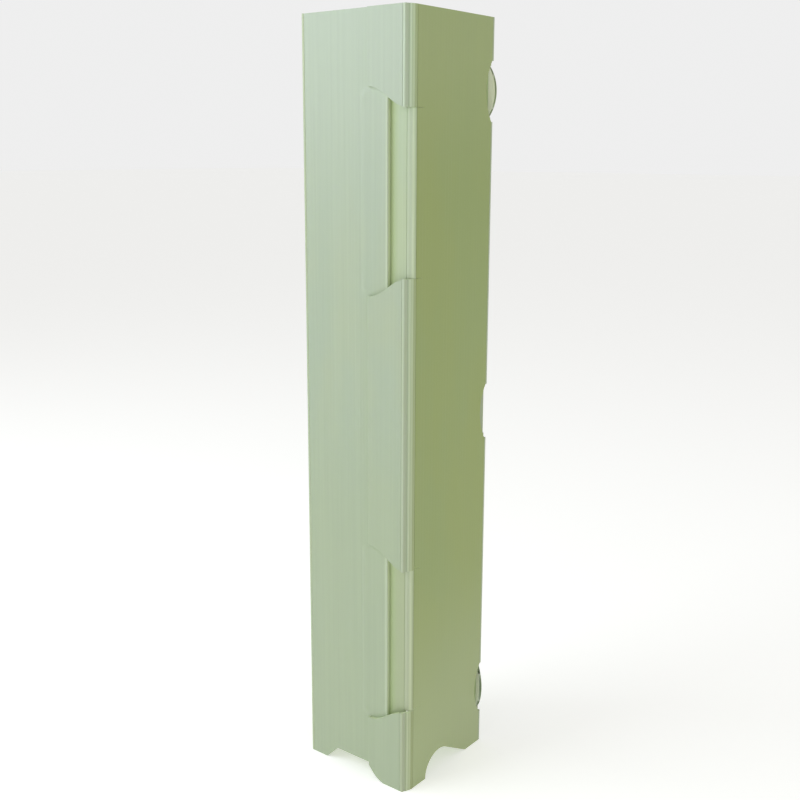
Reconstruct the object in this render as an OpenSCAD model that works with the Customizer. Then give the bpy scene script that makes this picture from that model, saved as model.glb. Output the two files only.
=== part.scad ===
// Square tree shelter: one die-cut sheet of twin-wall board with vertical
// flutes, creased into a four-sided tube. The seam at the front-right corner is
// closed by five tabs that lie alternately outside and inside the front panel.
// Millimetres, +Z up. The tube stands on its feet at z = 0.

/* [Tube] */
// Clear inside width of the square tube, and the distance between two hinge lines
inside_w = 100; // [90:1:120]
// Height of the tube
tube_h = 610; // [600:5:640]

/* [Sheet] */
// Thickness of the twin-wall sheet
sheet_t = 2.5; // [2:0.25:3]
// Thickness of each outer skin of the sheet
skin_t = 0.3; // [0.25:0.05:0.4]
// Thickness of the webs between the two skins
web_t = 0.3; // [0.25:0.05:0.4]
// Distance from one web to the next
flute_pitch = 3.5; // [3:0.25:5]
// Width of a cut made by the die
kerf = 0.5; // [0.4:0.1:0.8]
// Gap between two layers of sheet that lie on each other
layer_gap = 0.2; // [0.15:0.05:0.3]

/* [Seam] */
// Distance from the seam's hinge line to the front panel's free edge
front_edge = 18; // [14:1:20]
// Distance from the seam's hinge line to the free edge of the outside tabs
outer_reach = 36; // [34:1:38]
// Distance from the seam's hinge line to the free edge of the inside tabs
inner_reach = 42; // [40:1:44]
// Height of each end tab at the crease
end_tab_h = 70; // [60:1:80]
// Height of each inside tab at the crease
inner_tab_h = 121; // [110:1:130]
// How far each slit climbs or falls on its way to the free edge
slit_rise = 15; // [10:1:18]
// How far each slit runs on into the right panel, from the hinge line
slit_run = 12.5; // [10:0.5:16]
// Corner radius at the free end of the inside tabs
tab_r = 5; // [3:0.5:7]

/* [Feet] */
// Width of the front panel's foot, from the hinge line
front_foot = 15.5; // [12:0.5:20]
// Height of the notch between the feet of the front and back panels
notch_h = 12; // [8:1:14]
// Radius of the arch between the feet of the side panels
arch_r = 19; // [16:1:22]
// Distance from the seam's hinge line to the middle of the arch
arch_at = 41; // [40:1:46]
// Angle at which the arch runs out to the far foot
arch_run = 29.5; // [26:0.5:34]

/* [Ties] */
// How far the hinge of a tie tab is set in from the corner's hinge line
tie_inset = 1; // [0.8:0.1:1.2]
// How far a tie tab reaches past the corner's hinge line
tie_reach = 5.3; // [5:0.1:6]
// Half the height of a tie tab where it crosses the corner's hinge line
tie_half = 17.5; // [15:0.5:20]
// Height of the middle of the bottom tie tab
tie_low = 51; // [48:1:60]
// Height of the middle of the centre tie tab
tie_mid = 300; // [290:1:310]
// Height of the middle of the top tie tab
tie_top = 555; // [545:1:560]
// Angle at which the centre tie tab is tucked in behind the right panel
tie_tuck = 120; // [110:5:125]
// Angle at which the bottom tie tab is pressed in, so that it hardly stands out past the corner
tie_press = 30; // [20:5:35]

/* [Hidden] */
a = inside_w / 2;
t = sheet_t;
h = tube_h;
end_gap = 0.15;
eps = 0.01;
// panel stop before the seam, and start of the rigid tabs
seam_y = -a + 5;
tab_x = a - 3;
outer_y = -a - t - layer_gap - t;
inner_y = -a + layer_gap;
// facet of the outside fold
facet_y = -a + 2;
facet_x = a - 0.4;
// heights of the four slits at the crease
slit_4 = end_tab_h;
slit_3 = end_tab_h + inner_tab_h - 1;
slit_2 = h - end_tab_h - inner_tab_h - 1;
slit_1 = h - end_tab_h;
// tie tab outline: a circle that crosses the hinge line at tie_half
tie_r = (tie_half * tie_half + tie_reach * tie_reach) / (2 * tie_reach);
tie_c = a + tie_reach - tie_r;
// half the height of a tie tab at its own hinge
tie_base = sqrt(pow(tie_r, 2) - pow(a - tie_inset - tie_c, 2));
// the opening in the right panel is deeper than the tab, so that the tab swings through it
hole_d0 = tie_reach + tie_inset + 2.5;
hole_d1 = t + 0.1;
hole_z = tie_base + 0.1;
hole_c = (hole_d0 * hole_d0 - hole_d1 * hole_d1 - hole_z * hole_z) / (2 * (hole_d0 - hole_d1));
// the frame stands at the middle of the bounding box
tie_x_max = a - tie_inset + (tie_inset + tie_reach) * cos(tie_press) + t * sin(tie_press);
shift_x = -(tie_x_max - (a + t)) / 2;
shift_y = -(a + t + outer_y) / 2;

sheet_green = [0.76, 0.82, 0.70];
side_green = [0.62, 0.68, 0.46];
crease_green = [0.70, 0.77, 0.60];
tab_green = [0.80, 0.86, 0.74];

// smooth S from 0 at the crease to 1 near the free edge
function s_curve(x) = let (u = min(1, max(0, (a - x) / 34))) u * u * (3 - 2 * u);
function slit_z(z0, sign, x) = z0 + sign * slit_rise * s_curve(x);

module place() { translate([shift_x, shift_y, 0]) children(); }

// twin-wall sheet, along +X from 0 to len, thickness along +Y, flutes along Z
module fluted(len, height) {
  n = floor((len - web_t) / flute_pitch);
  side = (len - n * flute_pitch + web_t) / 2;
  linear_extrude(height) difference() {
    square([len, t]);
    for (i = [0 : n - 1])
      translate([side + i * flute_pitch, skin_t]) square([flute_pitch - web_t, t - 2 * skin_t]);
  }
}

// prism over an outline drawn in X and Z, from y0 to y1
module across_y(y0, y1) { translate([0, y1, 0]) rotate([90, 0, 0]) linear_extrude(y1 - y0) children(); }
// prism over an outline drawn in Y and Z, from x0 to x1
module across_x(x0, x1) { translate([x0, 0, 0]) rotate([90, 0, 90]) linear_extrude(x1 - x0) children(); }

// notch between the feet, measured from the left hinge line at x = -a
module notch(x_end) {
  polygon([[-a + front_foot - 1, -1], [-a + front_foot, 0], [-a + front_foot + notch_h, notch_h],
           [x_end, notch_h], [x_end, -1]]);
}

// arch between the feet of a side panel: a round head that runs out in a straight line
module arch() {
  m = -a + arch_at;
  translate([m, 0]) circle(r = arch_r, $fn = 96);
  polygon([[m, -1], [m, 0], [m + arch_r * sin(arch_run), arch_r * cos(arch_run)],
           [m + arch_r / sin(arch_run), 0], [m + arch_r / sin(arch_run) + 1, -1]]);
}

// clears each tie tab out of the back panel and the corner, from its hinge outwards
module tie_cut_back() {
  for (z = [tie_low, tie_mid, tie_top])
    translate([a - tie_inset - 0.15, a - 2, z - tie_base - 0.4]) cube([20, t + 4, 2 * tie_base + 0.8]);
}

// half-moon opening in the right panel, up to half_h above and below the middle of the tab
module tie_cut_right(half_h) {
  for (z = [tie_low, tie_mid, tie_top])
    intersection() {
      across_x(a - 1, a + t + 1) translate([a - hole_c, z]) circle(r = hole_d0 - hole_c, $fn = 128);
      translate([a - 2, a - 20, z - half_h]) cube([t + 4, 24, 2 * half_h]);
    }
}

module front_panel() {
  color(sheet_green) place() difference() {
    translate([-a + end_gap, -a - t, 0]) fluted(2 * a - end_gap - front_edge, h);
    across_y(-a - t - 1, -a + 1) notch(a);
  }
}

module left_panel() {
  color(side_green) place() difference() {
    translate([-a, -a + end_gap, 0]) rotate(90) fluted(2 * a - 2 * end_gap, h);
    across_x(-a - t - 1, -a + 1) arch();
  }
}

module back_panel() {
  color(sheet_green) place() difference() {
    translate([-a + end_gap, a, 0]) fluted(2 * a - 2 * end_gap, h);
    across_y(a - 1, a + t + 1) difference() {
      notch(a - front_foot);
      polygon([[a - front_foot, -2], [a - front_foot - notch_h, notch_h], [a, notch_h + 1], [a, -2]]);
    }
    tie_cut_back();
  }
}

module right_panel() {
  color(side_green) place() difference() {
    translate([a + t, seam_y, 0]) rotate(90) fluted(a - end_gap - seam_y, h);
    across_x(a - 1, a + t + 1) arch();
    for (z = [slit_1, slit_2, slit_3, slit_4])
      translate([a - 1, seam_y - 1, z - kerf / 2]) cube([t + 2, -a + slit_run - seam_y + 1, kerf]);
    tie_cut_right(30);
  }
}

// crushed corner of the sheet: an L with a rounded outside, drawn for the corner at +X +Y
module corner_2d() {
  difference() {
    translate([a - end_gap, a - end_gap]) square([t + end_gap, t + end_gap]);
    translate([a - 1, a - 1]) square([1, 1]);
    translate([a + t - 2, a + t - 2]) difference() { square([3, 3]); circle(r = 2, $fn = 48); }
  }
}

module front_left_crease() { color(crease_green) place() rotate(180) linear_extrude(h) corner_2d(); }
module back_left_crease() { color(crease_green) place() mirror([1, 0, 0]) linear_extrude(h) corner_2d(); }
module back_right_crease() {
  color(crease_green) place() difference() {
    linear_extrude(h) corner_2d();
    tie_cut_back();
    tie_cut_right(tie_base + 4);
  }
}

// fold that carries an outside tab: a flat facet from the right panel to the tab
module outer_fold(z0, z1) {
  color(crease_green) place() translate([0, 0, z0]) linear_extrude(z1 - z0) polygon([
    [a, seam_y], [a + t, seam_y], [a + t, facet_y], [facet_x, outer_y], [tab_x, outer_y],
    [tab_x, outer_y + t], [facet_x - 1.4, outer_y + t], [a, facet_y - 0.7]]);
}

// fold that carries an inside tab: a round bend that turns in before the corner
module inner_fold(z0, z1) {
  r = seam_y - inner_y;
  color(crease_green) place() translate([0, 0, z0]) linear_extrude(z1 - z0) {
    intersection() {
      translate([a + t - r, seam_y]) difference() { circle(r = r, $fn = 64); circle(r = r - t, $fn = 64); }
      translate([a + t - r, inner_y - 1]) square([r + 1, seam_y - inner_y + 1]);
    }
    translate([tab_x, inner_y]) square([a + t - r - tab_x + eps, t]);
  }
}

k = kerf / 2;
module seam_crease_1() { outer_fold(slit_1 + k, h); }
module seam_crease_2() { inner_fold(slit_2 + k, slit_1 - k); }
module seam_crease_3() { outer_fold(slit_3 + k, slit_2 - k); }
module seam_crease_4() { inner_fold(slit_4 + k, slit_3 - k); }
module seam_crease_5() { outer_fold(0, slit_4 - k); }

// outline of a tab between two slits; s0 and s1 give each edge's direction (0 = straight)
module tab_outline(x_free, z0, s0, z1, s1) {
  n = 10;
  xs = [for (i = [0 : n]) tab_x + (x_free - tab_x) * i / n];
  polygon(concat([for (x = xs) [x, slit_z(z0, s0, x)]],
                 [for (i = [n : -1 : 0]) [xs[i], slit_z(z1, s1, xs[i])]]));
}

module outer_tab(z0, s0, z1, s1) {
  x_free = a - outer_reach;
  color(tab_green) place() intersection() {
    translate([x_free, outer_y, 0]) fluted(tab_x - x_free, h);
    across_y(outer_y - 1, outer_y + t + 1) tab_outline(x_free, z0, s0, z1, s1);
  }
}

// rounds the two free corners of an inside tab
module inner_tab(z0, z1) {
  x_free = a - inner_reach;
  za = slit_z(z0, -1, x_free);
  zb = slit_z(z1, 1, x_free);
  color(tab_green) place() intersection() {
    translate([x_free, inner_y, 0]) fluted(tab_x - x_free, h);
    across_y(inner_y - 1, inner_y + t + 1) difference() {
      tab_outline(x_free, z0, -1, z1, 1);
      translate([x_free, za]) difference() {
        translate([-1, -1]) square([tab_r + 1, tab_r + 1]);
        translate([tab_r, tab_r]) circle(r = tab_r, $fn = 48);
      }
      translate([x_free, zb]) difference() {
        translate([-1, -tab_r]) square([tab_r + 1, tab_r + 1]);
        translate([tab_r, -tab_r]) circle(r = tab_r, $fn = 48);
      }
    }
  }
}

module seam_tab_1() { outer_tab(slit_1 + k, 1, h, 0); }
module seam_tab_2() { inner_tab(slit_2 + k, slit_1 - k); }
module seam_tab_3() { outer_tab(slit_3 + k, 1, slit_2 - k, -1); }
module seam_tab_4() { inner_tab(slit_4 + k, slit_3 - k); }
// the bottom tab ends in a foot whose outer corner is cut off
module seam_tab_5() {
  x_free = a - outer_reach;
  color(tab_green) place() intersection() {
    translate([x_free, outer_y, 0]) fluted(tab_x - x_free, h);
    across_y(outer_y - 1, outer_y + t + 1) difference() {
      tab_outline(x_free, 0, 0, slit_4 - k, -1);
      polygon([[x_free - 1, -1], [x_free - 1, 13], [x_free, 11.5], [x_free + 6, 5], [x_free + 15, 0], [x_free + 15, -1]]);
    }
  }
}

// half-moon cut beside the corner; turn is how far it is folded in
module tie_tab(z, turn) {
  x0 = a - tie_inset;
  color(tab_green) place() translate([x0, a, 0]) rotate(-turn) translate([-x0, -a, 0])
    intersection() {
      translate([x0 + 0.15, a, z - 30]) fluted(tie_inset + tie_reach + 1, 60);
      across_y(a - 1, a + t + 1) translate([tie_c, z]) circle(r = tie_r, $fn = 96);
    }
}

module tie_tab_top() { tie_tab(tie_top, 0); }
module tie_tab_middle() { tie_tab(tie_mid, tie_tuck); }
module tie_tab_bottom() { tie_tab(tie_low, tie_press); }

front_panel();
left_panel();
back_panel();
right_panel();
front_left_crease();
back_left_crease();
back_right_crease();
seam_crease_1();
seam_crease_2();
seam_crease_3();
seam_crease_4();
seam_crease_5();
seam_tab_1();
seam_tab_2();
seam_tab_3();
seam_tab_4();
seam_tab_5();
tie_tab_top();
tie_tab_middle();
tie_tab_bottom();
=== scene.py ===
import bpy
import math
import numpy as np
from mathutils import Matrix, Vector


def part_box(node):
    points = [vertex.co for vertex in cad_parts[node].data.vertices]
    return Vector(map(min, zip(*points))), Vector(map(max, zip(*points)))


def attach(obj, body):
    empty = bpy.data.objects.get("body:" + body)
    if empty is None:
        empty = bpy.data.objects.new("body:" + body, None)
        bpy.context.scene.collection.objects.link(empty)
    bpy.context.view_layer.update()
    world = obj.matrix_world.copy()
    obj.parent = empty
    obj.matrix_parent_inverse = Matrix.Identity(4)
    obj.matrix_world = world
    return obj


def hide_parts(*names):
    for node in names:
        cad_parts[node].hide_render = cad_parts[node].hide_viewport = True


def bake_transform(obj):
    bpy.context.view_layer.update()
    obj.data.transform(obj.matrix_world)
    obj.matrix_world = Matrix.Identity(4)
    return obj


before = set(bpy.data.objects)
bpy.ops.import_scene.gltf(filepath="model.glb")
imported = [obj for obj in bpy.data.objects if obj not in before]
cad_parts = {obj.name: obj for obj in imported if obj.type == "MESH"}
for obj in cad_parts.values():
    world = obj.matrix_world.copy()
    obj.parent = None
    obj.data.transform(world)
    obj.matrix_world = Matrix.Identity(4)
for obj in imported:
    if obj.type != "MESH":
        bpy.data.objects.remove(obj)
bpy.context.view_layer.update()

# ---------------------------------------------------------------- dimensions, in millimetres
MM = 0.001
A, T, H = 50.0, 2.5, 610.0
SKIN, WEB, PITCH, KERF = 0.3, 0.3, 3.5, 0.2
END_GAP = 0.15
SEAM_Y, TAB_X = -45.0, 47.0
OUTER_Y, INNER_Y = -55.2, -49.8
FRONT_EDGE, OUTER_FREE, INNER_FREE = 32.0, 14.0, 8.0
SLIT = {1: 540.0, 2: 418.0, 3: 190.0, 4: 70.0}
RISE = 15.0
TIE_Z = {"bottom": 51.0, "middle": 300.0, "top": 555.0}
TIE_TURN = {"bottom": 30.0, "middle": 120.0, "top": 0.0}
TIE_X, TIE_TIP, TIE_HALF = 49.0, 55.3, 17.5
reach = TIE_TIP - A
TIE_R = (TIE_HALF ** 2 + reach ** 2) / (2 * reach)
TIE_C = TIE_TIP - TIE_R
TIE_BASE = math.sqrt(TIE_R ** 2 - (TIE_X - TIE_C) ** 2)
D0, D1, DZ = reach + 1.0 + 1.3, T + 0.1, TIE_BASE + 0.1
HOLE_C = (D0 * D0 - D1 * D1 - DZ * DZ) / (2 * (D0 - D1))
HOLE_R = D0 - HOLE_C
# where the tube's own middle lies in the row frame
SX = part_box("right_panel")[1].x / MM - (A + T)
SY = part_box("back_panel")[1].y / MM - (A + T)


def s_curve(x):
    u = min(1.0, max(0.0, (A - x) / 34.0))
    return u * u * (3 - 2 * u)


def slit_z(z0, sign, x):
    return z0 + sign * RISE * s_curve(x)


def smooth(a, b, x):
    t = np.clip((np.asarray(x, float) - a) / (b - a), 0, 1)
    return t * t * (3 - 2 * t)


# ---------------------------------------------------------------- mesh helpers
def add_mesh(name, verts, faces):
    me = bpy.data.meshes.new(name)
    co = np.asarray(verts, float) + np.array([SX, SY, 0.0])
    me.from_pydata((co * MM).tolist(), [], faces)
    me.validate()
    me.update()
    ob = bpy.data.objects.new(name, me)
    bpy.context.scene.collection.objects.link(ob)
    return ob


def prism(name, outline, axis, lo, hi):
    """Closed prism over an outline in (a, z); axis 'y': a is x, axis 'x': a is y; axis 'z': outline in (x, y)."""
    pts = [tuple(p) for p in outline]
    area = sum(p[0] * q[1] - q[0] * p[1] for p, q in zip(pts, pts[1:] + pts[:1]))
    if area < 0:
        pts = pts[::-1]
    n = len(pts)
    if axis == "y":
        verts = [(p[0], hi, p[1]) for p in pts] + [(p[0], lo, p[1]) for p in pts]
    elif axis == "x":
        verts = [(lo, p[0], p[1]) for p in pts] + [(hi, p[0], p[1]) for p in pts]
    else:
        verts = [(p[0], p[1], lo) for p in pts] + [(p[0], p[1], hi) for p in pts]
    faces = [tuple(range(n))[::-1], tuple(range(n, 2 * n))]
    faces += [(i, (i + 1) % n, n + (i + 1) % n, n + i) for i in range(n)]
    return add_mesh(name, verts, faces)


def boolean(ob, cutters, op="DIFFERENCE"):
    for c in cutters:
        m = ob.modifiers.new("cut", "BOOLEAN")
        m.operation = op
        m.object = c
        try:
            m.solver = "MANIFOLD"
        except TypeError:
            m.solver = "EXACT"
    dg = bpy.context.evaluated_depsgraph_get()
    me = bpy.data.meshes.new_from_object(ob.evaluated_get(dg))
    ob.modifiers.clear()
    old = ob.data
    ob.data = me
    bpy.data.meshes.remove(old)
    for c in cutters:
        old = c.data
        bpy.data.objects.remove(c)
        bpy.data.meshes.remove(old)
    return ob


def rows(*ranges):
    """z levels from (start, end, step) ranges, merged and sorted."""
    zs = set()
    for a, b, s in ranges:
        n = max(1, int(round((b - a) / s)))
        zs.update(round(a + (b - a) * i / n, 4) for i in range(n + 1))
    zs = sorted(zs)
    out = [zs[0]]
    for z in zs[1:]:
        if z - out[-1] > 0.6:
            out.append(z)
    out[-1] = zs[-1]
    return out


FRAMES = {}


def split_faces(ob):
    """Material index 1 on the inner face, 2 on the cut edges, of a sheet made by fluted()."""
    if ob.name not in FRAMES:
        for p in ob.data.polygons:
            if abs(p.normal.z) > 0.5:
                p.material_index = 1
        return
    O, U, V, length = FRAMES[ob.name]
    for p in ob.data.polygons:
        n = np.array(p.normal)
        c = np.array(p.center)[:2] / MM - np.array([SX, SY]) - O
        u, v = float(c @ U), float(c @ V)
        nu, nv, nz = abs(float(n[:2] @ U)), float(n[:2] @ V), abs(float(n[2]))
        if nz > 0.25 and abs(nv) < 0.8:
            p.material_index = 2
        elif nu > 0.7 and (u < 0.06 or u > length - 0.06):
            p.material_index = 2
        elif nv < -0.9 and v < 0.2:
            p.material_index = 1


def fluted(name, length, zs, O, U, V, ripple=0.018, ch=(0.28, 0.28), disp=None, n=6):
    """Twin-wall sheet with open flutes along z. u runs from O along U, thickness from O along V, which points outwards."""
    nf = int(math.floor((length - WEB) / PITCH))
    side = (length - nf * PITCH + WEB) / 2
    c = [side - WEB / 2 + i * PITCH for i in range(nf + 1)]

    def sag(u):
        if u <= c[0] or u >= c[-1]:
            return 0.0
        return ripple * (0.5 - 0.5 * math.cos(2 * math.pi * (u - c[0]) / PITCH))

    P, caps, walls = [], [], []

    def pt(u, v):
        P.append((u, v))
        return len(P) - 1

    lo, hi = [], []
    cells = []
    for i in range(nf):
        a, b = c[i] + WEB / 2, c[i + 1] - WEB / 2
        us = [a + (b - a) * k / n for k in range(n + 1)]
        ob_ = [pt(u, sag(u)) for u in us]
        ot = [pt(u, T - sag(u)) for u in us]
        # the cell's own corners are rounded a little
        r = 0.18
        ib = [pt(u, SKIN + sag(u) + (r if k in (0, n) else 0.0)) for k, u in enumerate(us)]
        it = [pt(u, T - SKIN - sag(u) - (r if k in (0, n) else 0.0)) for k, u in enumerate(us)]
        cells.append((ob_, ot, ib, it))
        for k in range(n):
            caps.append((ob_[k], ob_[k + 1], ib[k + 1], ib[k]))
            caps.append((it[k], it[k + 1], ot[k + 1], ot[k]))
        # hole loop, clockwise
        loop = ib[::-1] + it
        walls += [(loop[k], loop[(k + 1) % len(loop)]) for k in range(len(loop))]
    mid_b = [pt(x, 0.0) for x in c]
    mid_t = [pt(x, T) for x in c]
    # left end
    l0, l1, l2 = pt(0.0, 0.0), pt(0.0, T - ch[0]), pt(ch[0] * 1.3, T)
    r0, r1, r2 = pt(length, 0.0), pt(length, T - ch[1]), pt(length - ch[1] * 1.3, T)
    ob_, ot, ib, it = cells[0]
    caps.append((l0, mid_b[0], ob_[0], ib[0], it[0], ot[0], mid_t[0], l2, l1))
    for i in range(nf - 1):
        pb, ptp, pib, pit = cells[i]
        qb, qt, qib, qit = cells[i + 1]
        caps.append((pb[-1], mid_b[i + 1], qb[0], qib[0], pib[-1]))
        caps.append((pib[-1], qib[0], qit[0], pit[-1]))
        caps.append((pit[-1], qit[0], qt[0], mid_t[i + 1], ptp[-1]))
    ob_, ot, ib, it = cells[-1]
    caps.append((ob_[-1], mid_b[-1], r0, r1, r2, mid_t[-1], ot[-1], it[-1], ib[-1]))
    bottom = [l0, mid_b[0]]
    top = [mid_t[0], l2, l1]
    for i in range(nf):
        bottom += cells[i][0] + [mid_b[i + 1]]
    tops = []
    for i in range(nf - 1, -1, -1):
        tops += [mid_t[i + 1]] + cells[i][1][::-1]
    loop = bottom + [r0, r1, r2] + tops + top
    walls += [(loop[k], loop[(k + 1) % len(loop)]) for k in range(len(loop))]

    uv = np.array(P)
    np_ = len(P)
    O, U, V = (np.array(x, float) for x in (O, U, V))
    verts = []
    for z in zs:
        d = disp(uv[:, 0], z) if disp is not None else np.zeros(np_)
        xy = O + np.outer(uv[:, 0], U) + np.outer(uv[:, 1] + d * uv[:, 1] / T, V)
        verts.append(np.column_stack([xy, np.full(np_, z)]))
    verts = np.vstack(verts)
    faces = []
    for j in range(len(zs) - 1):
        a0, b0 = j * np_, (j + 1) * np_
        faces += [(a0 + a, a0 + b, b0 + b, b0 + a) for a, b in walls]
    last = (len(zs) - 1) * np_
    faces += [tuple(reversed(f)) for f in caps] + [tuple(i + last for i in f) for f in caps]
    if U[0] * V[1] - U[1] * V[0] < 0:
        faces = [tuple(reversed(f)) for f in faces]
    ob = add_mesh(name, verts, faces)
    FRAMES[ob.name] = (O, U, V, length)
    return ob


def column(name, outline, zs, along=False):
    """Solid column over an outline in (x, y), with rows along z."""
    pts = [tuple(p) for p in outline]
    if sum(p[0] * q[1] - q[0] * p[1] for p, q in zip(pts, pts[1:] + pts[:1])) < 0:
        pts = pts[::-1]
    n = len(pts)
    verts = [(x, y, z) for z in zs for x, y in pts]
    faces = [(j * n + i, j * n + (i + 1) % n, (j + 1) * n + (i + 1) % n, (j + 1) * n + i) for j in range(len(zs) - 1) for i in range(n)]
    faces += [tuple(range(n))[::-1], tuple(range((len(zs) - 1) * n, len(zs) * n))]
    ob = add_mesh(name, verts, faces)
    if along:
        run = [0.0]
        for p, q in zip(outline, outline[1:]):
            run.append(run[-1] + math.dist(p, q))
        if pts[0] != tuple(outline[0]):
            run = run[::-1]
        at = ob.data.attributes.new("fold", "FLOAT", "POINT")
        at.data.foreach_set("value", run * len(zs))
    return ob


def finish_piece(ob, mat, nodes, body=None, angle=28, cut=None, inside=None):
    for p in ob.data.polygons:
        p.use_smooth = True
    bpy.context.view_layer.objects.active = ob
    ob.select_set(True)
    ob.data.materials.clear()
    ob.data.materials.append(mat)
    if ob.name in FRAMES:
        ob.data.materials.append(inside or m_inside)
    ob.data.materials.append(cut or m_cut)
    split_faces(ob)
    ob.data.set_sharp_from_angle(angle=math.radians(angle))
    ob.select_set(False)
    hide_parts(*nodes)
    if body:
        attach(ob, body)
    else:
        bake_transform(ob)
    return ob


# ---------------------------------------------------------------- materials
def node(nt, kind, **kw):
    n = nt.nodes.new(kind)
    for k, v in kw.items():
        setattr(n, k, v)
    return n


def maths(nt, op, a, b=None, c=None, clamp=False):
    n = node(nt, "ShaderNodeMath", operation=op, use_clamp=clamp)
    for i, v in enumerate((a, b, c)):
        if v is None:
            continue
        if isinstance(v, (int, float)):
            n.inputs[i].default_value = v
        else:
            nt.links.new(v, n.inputs[i])
    return n.outputs[0]


def map_range(nt, v, a, b, c, d, kind="SMOOTHSTEP"):
    n = node(nt, "ShaderNodeMapRange", interpolation_type=kind)
    nt.links.new(v, n.inputs[0])
    for i, x in enumerate((a, b, c, d)):
        n.inputs[i + 1].default_value = x
    return n.outputs[0]


def mix(nt, fac, a, b, blend="MIX"):
    n = node(nt, "ShaderNodeMix", data_type="RGBA", blend_type=blend)
    if isinstance(fac, (int, float)):
        n.inputs[0].default_value = fac
    else:
        nt.links.new(fac, n.inputs[0])
    for i, v in ((6, a), (7, b)):
        if isinstance(v, tuple):
            n.inputs[i].default_value = (*v, 1.0)
        else:
            nt.links.new(v, n.inputs[i])
    return n.outputs[2]


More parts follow.
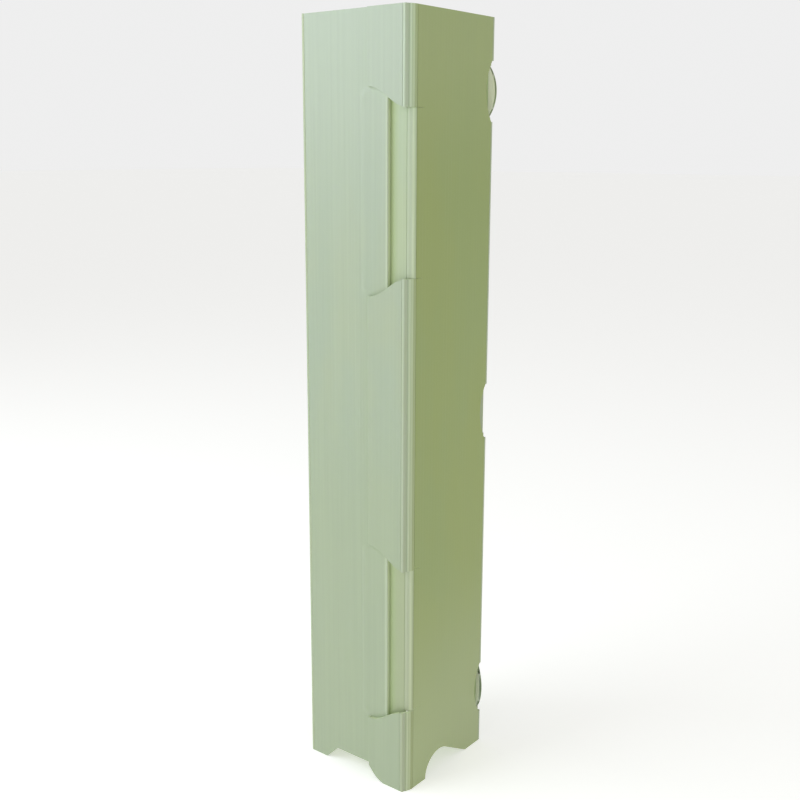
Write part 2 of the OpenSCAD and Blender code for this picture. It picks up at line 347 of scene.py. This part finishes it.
def sheet_material(name, base, axis, phase, web=0.5, streak=1.0, rough=0.40, white=0.0, tint=1.0, extra=None, fold=None):
    """Extruded twin-wall polypropylene. axis 0 or 1 is the row-frame axis across the flutes, phase is where a web stands."""
    m = bpy.data.materials.new(name)
    m.use_nodes = True
    nt = m.node_tree
    nt.nodes.clear()
    out = node(nt, "ShaderNodeOutputMaterial")
    bsdf = node(nt, "ShaderNodeBsdfPrincipled")
    nt.links.new(bsdf.outputs[0], out.inputs[0])
    tc = node(nt, "ShaderNodeTexCoord")
    sep = node(nt, "ShaderNodeSeparateXYZ")
    nt.links.new(tc.outputs["Object"], sep.inputs[0])
    along, z = sep.outputs[axis], sep.outputs[2]
    other = sep.outputs[1 - axis]
    # distance to the nearest web, in pitches
    f = maths(nt, "FRACT", maths(nt, "ADD", maths(nt, "DIVIDE", maths(nt, "SUBTRACT", along, phase), PITCH * MM), 100.5))
    d = maths(nt, "ABSOLUTE", maths(nt, "SUBTRACT", f, 0.5))
    line = map_range(nt, d, 0.03, 0.16, 1.0, 0.0)

    def noise(sx, sy, sz, detail, rough_, off):
        comb = node(nt, "ShaderNodeCombineXYZ")
        nt.links.new(maths(nt, "MULTIPLY", along, sx), comb.inputs[0])
        nt.links.new(maths(nt, "MULTIPLY_ADD", other, sy, off), comb.inputs[1])
        nt.links.new(maths(nt, "MULTIPLY", z, sz), comb.inputs[2])
        t = node(nt, "ShaderNodeTexNoise")
        t.inputs["Scale"].default_value = 1.0
        t.inputs["Detail"].default_value = detail
        t.inputs["Roughness"].default_value = rough_
        nt.links.new(comb.outputs[0], t.inputs["Vector"])
        return t.outputs[0]

    streaks = noise(420.0, 30.0, 5.0, 3.0, 0.65, 3.1)      # die lines, a few millimetres apart and long
    fine = noise(1500.0, 60.0, 14.0, 2.0, 0.6, 7.7)        # hairline scratches along the extrusion
    cloud = noise(22.0, 22.0, 9.0, 3.0, 0.5, 11.3)         # uneven thickness of the skin
    perweb = noise(95.0, 3.0, 3.0, 1.0, 0.5, 19.9)         # some webs show more than others
    s1 = map_range(nt, streaks, 0.32, 0.68, -1.0, 1.0, "LINEAR")
    s2 = map_range(nt, fine, 0.3, 0.7, -1.0, 1.0, "LINEAR")
    s3 = map_range(nt, cloud, 0.3, 0.7, -1.0, 1.0, "LINEAR")
    w = maths(nt, "MULTIPLY", line, map_range(nt, perweb, 0.35, 0.7, 0.15, 1.0))
    # value change
    v = maths(nt, "MULTIPLY", s1, 0.014 * streak)
    v = maths(nt, "MULTIPLY_ADD", s2, 0.008 * streak, v)
    v = maths(nt, "MULTIPLY_ADD", s3, 0.012, v)
    v = maths(nt, "MULTIPLY_ADD", w, 0.024 * web, v)
    gain = maths(nt, "ADD", v, 1.0)
    cool = tuple(min(1.0, b * k) for b, k in zip(base, (0.985, 1.0, 1.03)))
    warm = tuple(min(1.0, b * k) for b, k in zip(base, (1.012, 1.0, 0.965)))
    col = mix(nt, map_range(nt, cloud, 0.36, 0.64, 0.0, 1.0), cool, warm)
    col = mix(nt, maths(nt, "MULTIPLY", w, 0.07 * web), col, (0.80, 0.84, 0.74))
    if white:
        ridge = noise(2600.0, 2600.0, 22.0, 3.0, 0.7, 29.0)
        col = mix(nt, maths(nt, "MULTIPLY", map_range(nt, ridge, 0.35, 0.7, 0.3, 1.0), white), col, (0.66, 0.72, 0.54))
    if extra:
        col = extra(nt, col, sep)
    if fold:
        at = node(nt, "ShaderNodeAttribute", attribute_name="fold")
        ramp = node(nt, "ShaderNodeValToRGB")
        els = ramp.color_ramp.elements
        while len(els) > 1:
            els.remove(els[-1])
        top = max(f_[0] for f_ in fold)
        els[0].position = fold[0][0] / top
        els[0].color = (*fold[0][1:], 1)
        for pos_, *rgb in fold[1:]:
            el = els.new(pos_ / top)
            el.color = (*rgb, 1)
        nt.links.new(maths(nt, "DIVIDE", at.outputs["Fac"], top), ramp.inputs[0])
        # the painted highlights and shade of the crushed lines waver a little along the fold
        col = mix(nt, map_range(nt, fine, 0.35, 0.65, 0.72, 1.0), col, ramp.outputs[0])
        # painted light: the folds darker and warmer at the foot, brighter and bluer at the top, as the light falls
        painted_fold_top_light = map_range(nt, z, 0.05, 0.58, 0.0, 1.0, "LINEAR")
        col = mix(nt, 1.0, col, mix(nt, painted_fold_top_light, (0.95, 0.91, 0.84), (1.10, 1.10, 1.12)), "MULTIPLY")
    hsv = node(nt, "ShaderNodeHueSaturation")
    nt.links.new(col, hsv.inputs["Color"])
    nt.links.new(gain, hsv.inputs["Value"])
    nt.links.new(hsv.outputs[0], bsdf.inputs["Base Color"])
    r = maths(nt, "MULTIPLY_ADD", s1, 0.04, rough)
    r = maths(nt, "MULTIPLY_ADD", s3, 0.04, r)
    nt.links.new(r, bsdf.inputs["Roughness"])
    hgt = maths(nt, "MULTIPLY_ADD", s1, 0.5, maths(nt, "MULTIPLY", s2, 0.35))
    hgt = maths(nt, "MULTIPLY_ADD", w, 0.9, hgt)
    bump = node(nt, "ShaderNodeBump")
    bump.inputs["Strength"].default_value = 0.22
    bump.inputs["Distance"].default_value = 0.00006
    nt.links.new(hgt, bump.inputs["Height"])
    nt.links.new(bump.outputs[0], bsdf.inputs["Normal"])
    bsdf.inputs["IOR"].default_value = 1.49
    bsdf.inputs["Subsurface Weight"].default_value = 0.12
    bsdf.inputs["Subsurface Scale"].default_value = 0.0012
    bsdf.inputs["Subsurface Radius"].default_value = (0.8, 1.0, 0.5)
    return m


# Painted light: the front and back colour and the outer tabs' colour are a paler, bluer copy of the sheet's colour that
# carries a painted sheen of the cool key light; the side colour is a deeper, yellower copy that carries painted shade.
# The real sheet has one colour, between the two.
PALE_LIT_BASE = (0.394, 0.464, 0.333)
SHADED_SIDE_BASE = (0.309, 0.384, 0.134)
TAB_PALE_LIT_BASE = (0.395, 0.464, 0.333)
CREASE_BASE = (0.400, 0.475, 0.310)
TIE_BASE_COL = (0.430, 0.500, 0.340)


def cut_material_painted_glow():
    """Cut edges of the sheet: paler than the skins, a little rough, with a painted glow that stands in for daylight
    coming through the translucent sheet.
    """
    m = sheet_material("cut_edge", (0.500, 0.570, 0.370), 0, 0.0, web=0.0, streak=0.5, rough=0.5)
    b = next(n for n in m.node_tree.nodes if n.type == "BSDF_PRINCIPLED")
    b.inputs["Emission Color"].default_value = (0.60, 0.74, 0.42, 1)
    b.inputs["Emission Strength"].default_value = 0.09
    return m


def inside_material():
    """Inner face: the daylight that comes through the thin skins shows as a soft green glow."""
    m = sheet_material("sheet_inside", (0.420, 0.500, 0.270), 0, 0.0, web=0.0, streak=0.6, rough=0.42)
    b = next(n for n in m.node_tree.nodes if n.type == "BSDF_PRINCIPLED")
    b.inputs["Emission Color"].default_value = (0.62, 0.78, 0.36, 1)
    b.inputs["Emission Strength"].default_value = 0.10
    return m


m_cut = cut_material_painted_glow()
# Darker copies of the cut-edge colour, without its glow, for the tie tabs and for the back panel and back corner:
# painted shade for cut edges that lie in shade.
m_cut_tie_shaded = sheet_material("cut_edge_tie_painted_shade", (0.430, 0.460, 0.350), 0, 0.0, web=0.0, streak=0.5, rough=0.5)
m_cut_back_shaded = sheet_material("cut_edge_back_painted_shade", (0.345, 0.395, 0.225), 0, 0.0, web=0.0, streak=0.5, rough=0.5)
m_inside = inside_material()


def web_phase(start, length):
    nf = int(math.floor((length - WEB) / PITCH))
    return start + (length - nf * PITCH + WEB) / 2 - WEB / 2


def painted_top_light_and_green_foot(nt, col, sep):
    """Painted light: paler and bluer towards the top, a painted highlight for the stronger light that falls there;
    greener towards the foot.
    """
    high = map_range(nt, sep.outputs[2], 0.34, 0.60, 0.0, 1.0)
    col = mix(nt, high, col, (0.418, 0.488, 0.382))
    low = map_range(nt, sep.outputs[2], 0.20, 0.36, 0.85, 0.0)
    return mix(nt, low, col, (0.375, 0.446, 0.299))


def front_lip(nt, col, sep):
    """Stress-whitened lip along the free edge, over the painted top light and greener foot."""
    col = painted_top_light_and_green_foot(nt, col, sep)
    f = map_range(nt, sep.outputs[0], (FRONT_EDGE - 3.4 + SX) * MM, (FRONT_EDGE - 0.8 + SX) * MM, 0.0, 0.75)
    return mix(nt, f, col, (0.520, 0.600, 0.430))


def paler_greyer_ends(nt, col, sep):
    """The side is paler and greyer towards its two ends."""
    low = map_range(nt, sep.outputs[2], 0.02, 0.20, 1.0, 0.0)
    high = map_range(nt, sep.outputs[2], 0.46, 0.60, 0.0, 0.65)
    return mix(nt, maths(nt, "ADD", low, high), col, (0.376, 0.446, 0.222))


m_front = sheet_material("sheet_front", PALE_LIT_BASE, 0, (web_phase(-A + END_GAP, FRONT_EDGE + A - END_GAP) + SX) * MM, streak=1.7, extra=front_lip)
m_back = sheet_material("sheet_back", PALE_LIT_BASE, 0, (web_phase(-A + END_GAP, 2 * A - 2 * END_GAP) + SX) * MM)
m_right = sheet_material("sheet_right", SHADED_SIDE_BASE, 1, (web_phase(SEAM_Y, A - END_GAP - SEAM_Y) + SY) * MM, web=0.35, streak=0.7, extra=paler_greyer_ends)
m_left = sheet_material("sheet_left", SHADED_SIDE_BASE, 1, (web_phase(-A + END_GAP, 2 * A - 2 * END_GAP) + SY) * MM, web=0.5)
m_outer = sheet_material("tab_outer", TAB_PALE_LIT_BASE, 0, (web_phase(OUTER_FREE, TAB_X - OUTER_FREE) + SX) * MM, streak=1.5, extra=painted_top_light_and_green_foot)


def edge_shadow_and_low_tint(nt, col, sep):
    """Painted shadow: darker and greener where the inner tab comes out from under the front panel, the shade cast by
    the panel's edge; greener on the lower tab.
    """
    low = map_range(nt, sep.outputs[2], 0.20, 0.36, 1.0, 0.0)
    col = mix(nt, low, col, (0.388, 0.450, 0.270))
    f = map_range(nt, sep.outputs[0], (FRONT_EDGE + 1.5 + SX) * MM, (FRONT_EDGE + 8.5 + SX) * MM, 1.0, 0.0)
    return mix(nt, f, col, (0.400, 0.490, 0.255))


# The inner tabs' colour is a paler copy of the outer tabs' colour: painted light that lifts the recess they lie in.
m_inner_painted_light_shade = sheet_material("tab_inner_painted_light_shade", (0.425, 0.505, 0.335), 0, (web_phase(INNER_FREE, TAB_X - INNER_FREE) + SX) * MM, extra=edge_shadow_and_low_tint)
m_crease = sheet_material("crease_main", CREASE_BASE, 0, 0.0, web=0.0, streak=0.8, rough=0.34, white=0.25)
# crushed lines along the folds, partly stress whitening and partly painted light: the pale lines are painted highlights
# on ridges that catch the light, the dark bands painted shade in the grooves; distance along the outline in
# millimetres, then colour
FOLD_WHITENING_AND_PAINTED_LIGHT_OUT = [
    (0.0, 0.350, 0.425, 0.200), (4.6, 0.350, 0.425, 0.210), (5.1, 0.370, 0.450, 0.250), (5.9, 0.500, 0.600, 0.380), (6.9, 0.480, 0.580, 0.370),
    (7.6, 0.430, 0.530, 0.340), (8.4, 0.590, 0.700, 0.490), (9.3, 0.510, 0.620, 0.440), (10.2, 0.350, 0.435, 0.290), (10.8, 0.420, 0.505, 0.365),
    (12.0, 0.410, 0.490, 0.350), (13.0, 0.440, 0.520, 0.380), (14.4, 0.460, 0.540, 0.410), (17.8, 0.400, 0.475, 0.345)]
FOLD_WHITENING_AND_PAINTED_LIGHT_IN = [
    (0.0, 0.355, 0.430, 0.220), (2.7, 0.370, 0.445, 0.250), (3.4, 0.420, 0.500, 0.310), (4.4, 0.550, 0.660, 0.440), (5.5, 0.610, 0.710, 0.500),
    (6.8, 0.480, 0.570, 0.410), (7.6, 0.460, 0.540, 0.390), (8.6, 0.500, 0.580, 0.430), (10.3, 0.430, 0.510, 0.360)]
m_fold_out = sheet_material("crease_seam_outer", (0.420, 0.500, 0.300), 0, 0.0, web=0.0, streak=0.9, rough=0.33, fold=FOLD_WHITENING_AND_PAINTED_LIGHT_OUT)
m_fold_in = sheet_material("crease_seam_inner", (0.440, 0.520, 0.330), 0, 0.0, web=0.0, streak=0.9, rough=0.33, fold=FOLD_WHITENING_AND_PAINTED_LIGHT_IN)
m_tie = sheet_material("tie_tab", TIE_BASE_COL, 0, (TIE_X + 1.0 + SX) * MM, web=0.4)
# Painted light: the tie tabs' inner face is a much paler copy of the sheet's colour and glows, for the tongue that sits
# in the tube's shade and is seen through the opening.
m_tie_in_painted_light = sheet_material("tie_tab_inside_painted_light", (0.650, 0.690, 0.510), 0, (TIE_X + 1.0 + SX) * MM, web=0.4)
tie_glow_bsdf = next(n for n in m_tie_in_painted_light.node_tree.nodes if n.type == "BSDF_PRINCIPLED")
tie_glow_bsdf.inputs["Emission Color"].default_value = (0.72, 0.70, 0.60, 1)
tie_glow_bsdf.inputs["Emission Strength"].default_value = 0.14

# ---------------------------------------------------------------- panels
FF, NH = 15.5, 12.0


def bow(length, amp, phase):
    def f(u, z):
        return amp * np.sin(np.pi * np.clip(u / length, 0, 1)) ** 2 * (0.5 + 0.5 * math.sin(2 * math.pi * z / 430.0 + phase))
    return f


def emboss(x, z):
    """How far the inside tabs press the front panel outwards, at x and height z."""
    total = np.zeros_like(x)
    for lo, hi in ((SLIT[2], SLIT[1]), (SLIT[4], SLIT[3])):
        sc = np.array([s_curve(v) for v in x])
        zl, zh = lo - RISE * sc, hi + RISE * sc
        # distance inside the tab's outline, with round corners
        dx = x - (INNER_FREE - 2.6)
        dz = np.minimum(z - zl, zh - z)
        r = 7.0
        qx, qz = np.maximum(r - dx, 0), np.maximum(r - dz, 0)
        inside = np.where((dx < r) & (dz < r), r - np.hypot(qx, qz), np.minimum(dx, dz))
        total += smooth(0.0, 3.6, inside)
    return total


length_f = FRONT_EDGE + A - END_GAP
bow_f = bow(length_f, 0.22, 0.6)


def disp_front(u, z):
    x = -A + END_GAP + u
    lift = emboss(x, z)
    # the free edge lifts a little more over the inside tabs
    blob = sum(np.exp(-((x - 9.0) / 3.2) ** 2 - ((z - c) / 4.5) ** 2) for c in (SLIT[1] + RISE - 7.0, SLIT[2] - RISE + 7.0, SLIT[3] + RISE - 7.0, SLIT[4] - RISE + 7.0))
    return bow_f(u, z) * (1 - 0.6 * lift) + 0.48 * lift + 0.08 * lift * smooth(24.0, 32.0, x) + 0.22 * blob


zs_front = rows((0, 16, 4), (16, 44, 7), (44, 80, 1.6), (80, 180, 12.5), (180, 210, 1.6), (210, 394, 15), (394, 424, 1.6), (424, 532, 12), (532, 562, 1.6), (562, H, 12))
front = fluted("front_panel_sheet", length_f, zs_front, (-A + END_GAP, -A), (1, 0), (0, -1), ch=(0.28, 0.48), disp=disp_front)
boolean(front, [prism("c", [(-A + FF - 5, -5), (-A + FF, 0), (-A + FF + NH, NH), (A + 5, NH), (A + 5, -5)], "y", -A - 8, -A + 5)])
finish_piece(front, m_front, ["front_panel"], body="front_side")


def arch(m=-9.0, r=19.0, run=29.5):
    a1 = math.radians(90 - run)
    pts = [(m - r, -5.0), (m - r, 0.0)]
    pts += [(m + r * math.cos(t), r * math.sin(t)) for t in np.linspace(math.pi, a1, 64)[1:]]
    end = m + r / math.sin(math.radians(run))
    slope = (end - (m + r * math.cos(a1))) / (r * math.sin(a1))
    pts += [(end + slope * 5.0, -5.0)]
    return pts


zs_side = rows((0, 40, 4), (40, H, 19))
length_l = 2 * A - 2 * END_GAP
left = fluted("left_panel_sheet", length_l, zs_side, (-A, -A + END_GAP), (0, 1), (-1, 0), disp=bow(length_l, 0.2, 2.0))
boolean(left, [prism("c", arch(), "x", -A - T - 3, -A + 3)])
finish_piece(left, m_left, ["left_panel"], body="left_side")

back = fluted("back_panel_sheet", length_l, zs_side, (-A + END_GAP, A), (1, 0), (0, 1), disp=bow(length_l, 0.2, 4.0))
cuts = [prism("c", [(-A + FF - 5, -5), (-A + FF, 0), (-A + FF + NH, NH), (A - FF - NH, NH), (A - FF, 0), (A - FF + 5, -5)], "y", A - 3, A + T + 3)]
for z in TIE_Z.values():
    b = TIE_BASE + 0.4
    cuts.append(prism("c", [(TIE_X - 0.15, z - b), (A + 6, z - b), (A + 6, z + b), (TIE_X - 0.15, z + b)], "y", A - 3, A + T + 3))
boolean(back, cuts)
finish_piece(back, m_back, ["back_panel"], body="back_side", cut=m_cut_back_shaded)


def hole_outline(z, half):
    """Half-moon opening in the right panel, in (y, z), open past the corner."""
    c = A - HOLE_C
    a = math.asin(min(1.0, half / HOLE_R))
    pts = [(c - HOLE_R * math.cos(t), z + HOLE_R * math.sin(t)) for t in np.linspace(-a, a, 49)]
    return pts + [(A + 6, pts[-1][1]), (A + 6, pts[0][1])]


length_r = A - END_GAP - SEAM_Y
right = fluted("right_panel_sheet", length_r, zs_side, (A, SEAM_Y), (0, 1), (1, 0), disp=bow(length_r, 0.2, 5.2))
cuts = [prism("c", arch(), "x", A - 3, A + T + 3)]
for z in SLIT.values():
    cuts.append(prism("c", [(SEAM_Y - 2, z - KERF / 2), (-37.9, z - KERF / 2), (-37.5, z), (-37.9, z + KERF / 2), (SEAM_Y - 2, z + KERF / 2)], "x", A - 3, A + T + 3))
for z in TIE_Z.values():
    cuts.append(prism("c", hole_outline(z, TIE_BASE + 4), "x", A - 3, A + T + 3))
boolean(right, cuts)
finish_piece(right, m_right, ["right_panel"], body="right_side")

# ---------------------------------------------------------------- creases between the panels
def corner_outline():
    """Crushed corner at +X +Y: flat legs, a shallow score beside each leg and a rounded outside."""
    e = A - END_GAP
    o = A + T
    pts = [(e, A), (A, A), (A, e)]
    leg = [(o - 0.26, e), (o, e + 0.30), (o, e + 0.75), (o - 0.02, e + 1.0)]
    arc = [(o - 1.35 + 1.35 * math.cos(t), o - 1.35 + 1.35 * math.sin(t)) for t in np.linspace(0, math.pi / 2, 13)]
    right_leg = [(A + 0.8, e), (A + 1.6, e)] + leg
    top_leg = [(y, x) for x, y in reversed(right_leg)]
    return pts + right_leg + arc + top_leg


def place(outline, fx, fy):
    return [(x * fx, y * fy) for x, y in outline]


zs_crease = rows((0, H, 30))
co = corner_outline()
fl = column("front_left_crease_fold", place(co, -1, -1), zs_crease)
finish_piece(fl, m_crease, ["front_left_crease"])
bl = column("back_left_crease_fold", place(co, -1, 1), zs_crease)
finish_piece(bl, m_crease, ["back_left_crease"])
br = column("back_right_crease_fold", co, zs_crease)
cuts = []
for z in TIE_Z.values():
    b = TIE_BASE + 0.4
    cuts.append(prism("c", [(TIE_X - 0.15, z - b), (A + 6, z - b), (A + 6, z + b), (TIE_X - 0.15, z + b)], "y", A - 3, A + T + 3))
    cuts.append(prism("c", hole_outline(z, TIE_BASE + 4), "x", A - 3, A + T + 3))
boolean(br, cuts)
finish_piece(br, m_crease, ["back_right_crease"], cut=m_cut_back_shaded)

# ---------------------------------------------------------------- folds at the seam
OUT_FOLD = [
    (50.0, -45.0), (51.25, -45.0), (52.24, -45.0), (52.5, -45.35), (52.5, -46.4), (52.48, -47.2), (52.26, -47.55), (52.2, -47.9),
    (52.26, -48.3), (52.08, -48.75), (51.8, -49.25), (51.66, -49.7), (51.64, -49.98), (51.5, -50.22), (51.2, -50.5), (51.06, -50.85),
    (51.03, -51.3), (50.96, -51.55), (50.7, -51.8), (50.2, -52.2), (49.95, -52.5), (49.8, -52.95), (49.66, -53.6), (49.5, -54.25),
    (49.3, -54.75), (49.0, -55.06), (48.6, -55.19), (48.1, -55.2), (47.32, -55.2), (47.0, -54.9), (47.0, -53.8), (47.0, -52.7),
    (47.6, -52.7), (47.9, -52.5), (48.3, -51.7), (48.8, -50.9), (49.35, -50.1), (49.8, -49.3), (50.0, -48.7), (50.0, -47.0),
]
IN_FOLD = [
    (50.0, -45.0), (51.25, -45.0), (52.24, -45.0), (52.45, -45.35), (52.34, -45.95), (52.12, -46.4), (51.94, -46.55), (51.78, -46.85),
    (51.4, -47.4), (51.05, -47.8), (50.86, -47.9), (50.62, -48.16), (50.1, -48.6), (49.7, -48.88), (49.5, -48.92), (49.2, -49.14),
    (48.5, -49.48), (47.9, -49.66), (47.32, -49.78), (47.0, -49.5), (47.0, -48.4), (47.0, -47.3),
    (47.7, -47.25), (48.3, -47.05), (48.9, -46.75), (49.4, -46.3), (49.8, -45.7),
]
k = KERF / 2
spans = {1: (SLIT[1] + k, H), 2: (SLIT[2] + k, SLIT[1] - k), 3: (SLIT[3] + k, SLIT[2] - k), 4: (SLIT[4] + k, SLIT[3] - k), 5: (0.0, SLIT[4] - k)}
for i, (z0, z1) in spans.items():
    outer = i in (1, 3, 5)
    zs = [z0 + (z1 - z0) * j / max(2, int((z1 - z0) // 25)) for j in range(max(2, int((z1 - z0) // 25)) + 1)]
    ob = column(f"seam_crease_{i}_fold", OUT_FOLD if outer else IN_FOLD, zs, along=True)
    finish_piece(ob, m_fold_out if outer else m_fold_in, [f"seam_crease_{i}"])

# ---------------------------------------------------------------- seam tabs
def edge(z0, sign, x_free, n=16):
    return [(TAB_X + (x_free - TAB_X) * i / n, slit_z(z0, sign, TAB_X + (x_free - TAB_X) * i / n)) for i in range(n + 1)]


def tab_shape(x_free, z0, s0, z1, s1, r=0.0):
    lo_, hi_ = edge(z0, s0, x_free), edge(z1, s1, x_free)
    lo_[0], hi_[0] = (TAB_X + 1, lo_[0][1]), (TAB_X + 1, hi_[0][1])
    if r:
        za, zb = lo_[-1][1], hi_[-1][1]
        lo_ = [p for p in lo_ if p[0] > x_free + r] + [(x_free + r - r * math.sin(t), za + r - r * math.cos(t)) for t in np.linspace(0, math.pi / 2, 9)]
        hi_ = [p for p in hi_ if p[0] > x_free + r] + [(x_free + r - r * math.sin(t), zb - r + r * math.cos(t)) for t in np.linspace(0, math.pi / 2, 9)]
    return lo_ + hi_[::-1]


def crushed(curve, y_in, side):
    """The die crushes the flutes shut along a slit: a thin wall just inside the cut edge. side is +1 under an upper edge."""
    pts = [(x, z - side * 0.03) for x, z in curve]
    back = [(x, z - side * 0.65) for x, z in curve]
    return prism("c", pts + back[::-1], "y", y_in - T + 0.12, y_in - 0.12)


def tab(i, x_free, y_in, shape, mat, disp=None, crush=()):
    length = TAB_X - x_free
    zlo, zhi = min(p[1] for p in shape), max(p[1] for p in shape)
    ob = fluted(f"seam_tab_{i}_flap", length, rows((zlo - 3, zhi + 3, 12)), (x_free, y_in), (1, 0), (0, -1), ch=(0.35, 0.28), disp=disp)
    boolean(ob, [prism("c", shape, "y", y_in - T - 3, y_in + 3)], "INTERSECT")
    for z0, sign, side in crush:
        curve = [q for q in edge(z0, sign, x_free, 24) if x_free + (5.2 if x_free == INNER_FREE else 0.2) <= q[0] <= TAB_X - 0.2]
        boolean(ob, [crushed(curve, y_in, side)], "UNION")
    return finish_piece(ob, mat, [f"seam_tab_{i}"], body=f"tab_{i}")


top_shape = tab_shape(OUTER_FREE, SLIT[1] + k, 1, H, 0)
low_shape = [p for p in tab_shape(OUTER_FREE, 0.0, 0, SLIT[4] - k, -1) if p[1] > 0.01 or p[0] > OUTER_FREE + 14.9]
cut5 = [(OUTER_FREE + 15, 0.0), (OUTER_FREE + 9.5, 2.4), (OUTER_FREE + 6, 5.0), (OUTER_FREE + 2.6, 8.6), (OUTER_FREE, 11.5)]
low_shape = [(TAB_X + 1, 0.0)] + cut5 + [p for p in low_shape if p[1] > 20]
tab(1, OUTER_FREE, OUTER_Y + T, top_shape, m_outer, crush=[(SLIT[1] + k, 1, -1)])
tab(2, INNER_FREE, INNER_Y + T, tab_shape(INNER_FREE, SLIT[2] + k - 0.6, -1, SLIT[1] - k, 1, 5.0), m_inner_painted_light_shade, crush=[(SLIT[2] + k - 0.6, -1, -1), (SLIT[1] - k, 1, 1)])
tab(3, OUTER_FREE, OUTER_Y + T, tab_shape(OUTER_FREE, SLIT[3] + k, 1, SLIT[2] - k, -1), m_outer, crush=[(SLIT[3] + k, 1, -1), (SLIT[2] - k, -1, 1)])
tab(4, INNER_FREE, INNER_Y + T, tab_shape(INNER_FREE, SLIT[4] + k - 2.2, -1, SLIT[3] - k, 1, 5.0), m_inner_painted_light_shade, crush=[(SLIT[4] + k - 2.2, -1, -1), (SLIT[3] - k, 1, 1)])
tab(5, OUTER_FREE, OUTER_Y + T, low_shape, m_outer, crush=[(SLIT[4] - k, -1, 1)])

# ---------------------------------------------------------------- tie tabs
for which, z in TIE_Z.items():
    x0 = TIE_X - 0.08
    ob = fluted(f"tie_tab_{which}_tongue", TIE_TIP - x0 + 1.0, rows((z - 22, z + 22, 6)), (x0, A), (1, 0), (0, 1), ch=(0.0, 0.1))
    a0 = math.acos((x0 - 0.2 - TIE_C) / TIE_R)
    pts = [(TIE_C + TIE_R * math.cos(t), z + TIE_R * math.sin(t)) for t in np.linspace(-a0, a0, 65)]
    boolean(ob, [prism("c", pts, "y", A - 1, A + T + 1)], "INTERSECT")
    turn = math.radians(-TIE_TURN[which])
    O, U, V, length = FRAMES[ob.name]
    R2 = np.array([[math.cos(turn), -math.sin(turn)], [math.sin(turn), math.cos(turn)]])
    hinge = np.array([TIE_X, A])
    FRAMES[ob.name] = (hinge + R2 @ (O - hinge), R2 @ U, R2 @ V, length)
    pivot = Vector(((TIE_X + SX) * MM, (A + SY) * MM, 0))
    ob.data.transform(Matrix.Translation(pivot) @ Matrix.Rotation(turn, 4, "Z") @ Matrix.Translation(-pivot))
    finish_piece(ob, m_tie, [f"tie_tab_{which}"], body=f"tie_{which}", cut=m_cut_tie_shaded, inside=m_tie_in_painted_light)

# ---------------------------------------------------------------- floor, light, camera
scene = bpy.context.scene
me = bpy.data.meshes.new("floor")
R = 25.0
me.from_pydata([(-R, -R, 0), (R, -R, 0), (R, R, 0), (-R, R, 0)], [], [(0, 1, 2, 3)])
floor = bpy.data.objects.new("floor", me)
scene.collection.objects.link(floor)
fm = bpy.data.materials.new("floor_paper")
fm.use_nodes = True
fb = fm.node_tree.nodes["Principled BSDF"]
fb.inputs["Base Color"].default_value = (0.86, 0.86, 0.85, 1)
fb.inputs["Roughness"].default_value = 0.9
fb.inputs["Specular IOR Level"].default_value = 0.1
fb.inputs["Emission Color"].default_value = (1, 1, 1, 1)
fb.inputs["Emission Strength"].default_value = 0.46
me.materials.append(fm)

world = bpy.data.worlds.new("studio")
scene.world = world
world.use_nodes = True
nt = world.node_tree
nt.nodes.clear()
wo = node(nt, "ShaderNodeOutputWorld")
b1 = node(nt, "ShaderNodeBackground")
b1.inputs[0].default_value = (1.0, 0.995, 0.97, 1)
b1.inputs[1].default_value = 0.46
b2 = node(nt, "ShaderNodeBackground")
b2.inputs[0].default_value = (1, 1, 1, 1)
b2.inputs[1].default_value = 0.86
lp = node(nt, "ShaderNodeLightPath")
mx = node(nt, "ShaderNodeMixShader")
nt.links.new(lp.outputs["Is Camera Ray"], mx.inputs[0])
nt.links.new(b1.outputs[0], mx.inputs[1])
nt.links.new(b2.outputs[0], mx.inputs[2])
nt.links.new(mx.outputs[0], wo.inputs[0])


def area(name, loc, target, size, power, color):
    L = bpy.data.lights.new(name, "AREA")
    L.shape = "RECTANGLE"
    L.size, L.size_y = size
    L.energy = power
    L.color = color
    ob = bpy.data.objects.new(name, L)
    ob.location = loc
    ob.rotation_mode = "QUATERNION"
    ob.rotation_quaternion = (Vector(target) - Vector(loc)).to_track_quat("-Z", "Y")
    ob.visible_camera = False
    scene.collection.objects.link(ob)
    return ob


area("key", (-0.62, -0.86, 0.98), (0, 0, 0.42), (0.85, 0.85), 6.9, (0.88, 0.96, 1.0))
area("side_left", (-1.6, -0.75, 1.1), (0, 0, 0.36), (1.1, 1.3), 3.5, (0.95, 0.99, 1.0))
area("front_soft", (-0.5, -2.2, 1.2), (0, 0, 0.3), (2.0, 1.6), 4, (0.98, 1.0, 0.98))
area("fill_right", (1.6, 0.5, 0.9), (0, 0, 0.3), (1.6, 1.6), 3.5, (1.0, 0.97, 0.84))

scene.view_settings.view_transform = "Standard"
scene.view_settings.look = "None"
scene.view_settings.exposure = 0.0
scene.view_settings.gamma = 1.0

pos = Vector((530.68, -671.75, 508.92)) * MM
yaw, pitch, roll, focal = math.radians(38.22), math.radians(12.477), math.radians(0.223), 1075.7
fwd = Vector((-math.sin(yaw) * math.cos(pitch), math.cos(yaw) * math.cos(pitch), -math.sin(pitch)))
rt = Vector((math.cos(yaw), math.sin(yaw), 0))
up = rt.cross(fwd)
rr = rt * math.cos(roll) + up * math.sin(roll)
uu = -rt * math.sin(roll) + up * math.cos(roll)
cam_data = bpy.data.cameras.new("camera")
cam_data.sensor_width = 36.0
cam_data.lens = focal / 800 * 36.0
cam_data.shift_y = -0.0125
cam = bpy.data.objects.new("camera", cam_data)
M = Matrix.Identity(4)
for r_ in range(3):
    M[r_][0], M[r_][1], M[r_][2], M[r_][3] = rr[r_], uu[r_], -fwd[r_], pos[r_]
cam.matrix_world = M
scene.collection.objects.link(cam)
scene.camera = cam
